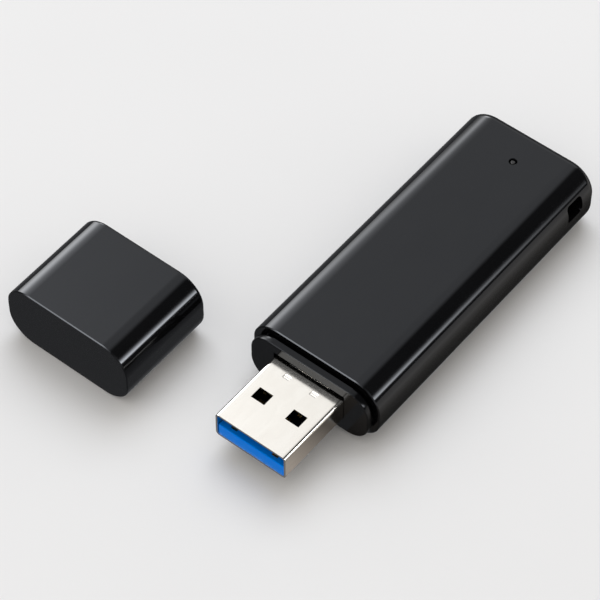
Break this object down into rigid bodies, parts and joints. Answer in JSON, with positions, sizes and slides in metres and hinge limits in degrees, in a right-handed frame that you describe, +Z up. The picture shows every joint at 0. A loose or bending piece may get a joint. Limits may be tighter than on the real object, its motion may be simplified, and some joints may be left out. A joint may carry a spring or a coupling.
{
  "type": "usb flash drive",
  "caption": "Capped flash drive: rounded black case and collar, folded-sheet type A plug with blue tongue, strap slot, and a slip-on cap lying beside it.",
  "frame": {"origin": "centre of the case's flat underside, on the surface that the drive and its cap lie on", "axes": "+X across the drive towards the strap slot's side, +Y along it from the plug to the rear end, +Z up"},
  "size_m": [0.052, 0.0669, 0.0106],
  "materials": {
    "case_plastic": "polished black ABS",
    "frame_plastic": "glossy black ABS",
    "cover_plastic": "matte black ABS",
    "shell_steel": "nickel-plated steel, satin",
    "tongue_plastic": "blue moulded PBT",
    "spacer_plastic": "black moulded PBT",
    "contact_gold": "gold-plated copper alloy",
    "board_laminate": "green solder mask on glass laminate",
    "chip_resin": "moulded black epoxy",
    "crystal_can": "plated lid",
    "led_resin": "clear resin on a white base",
    "light_pipe_plastic": "smoked clear plastic",
    "capacitor_ceramic": "brown ceramic with tinned ends",
    "resistor_ceramic": "black resistor film on ceramic"
  },
  "bodies": {
    "drive": {"outer_case": "case_plastic", "inner_frame": "frame_plastic", "plug_shell": "shell_steel", "contact_tongue": "tongue_plastic", "board_cover": "cover_plastic", "contact_spacer": "spacer_plastic", "contact_power": "contact_gold", "contact_data_minus": "contact_gold", "contact_data_plus": "contact_gold", "contact_ground": "contact_gold", "signal_receive_minus": "contact_gold", "signal_receive_plus": "contact_gold", "signal_drain": "contact_gold", "signal_transmit_minus": "contact_gold", "signal_transmit_plus": "contact_gold", "circuit_board": "board_laminate", "controller_chip": "chip_resin", "memory_chip": "chip_resin", "crystal": "crystal_can", "regulator": "chip_resin", "indicator_led": "led_resin", "capacitors": "capacitor_ceramic", "resistors": "resistor_ceramic", "light_pipe": "light_pipe_plastic"},
    "cap": {"cap": "case_plastic"}
  },
  "joints": [
    {"name": "cap_pull", "type": "slide", "parent": "drive", "child": "cap", "axis": [0, -1, 0], "range_m": [0, 0.015]}
  ]
}
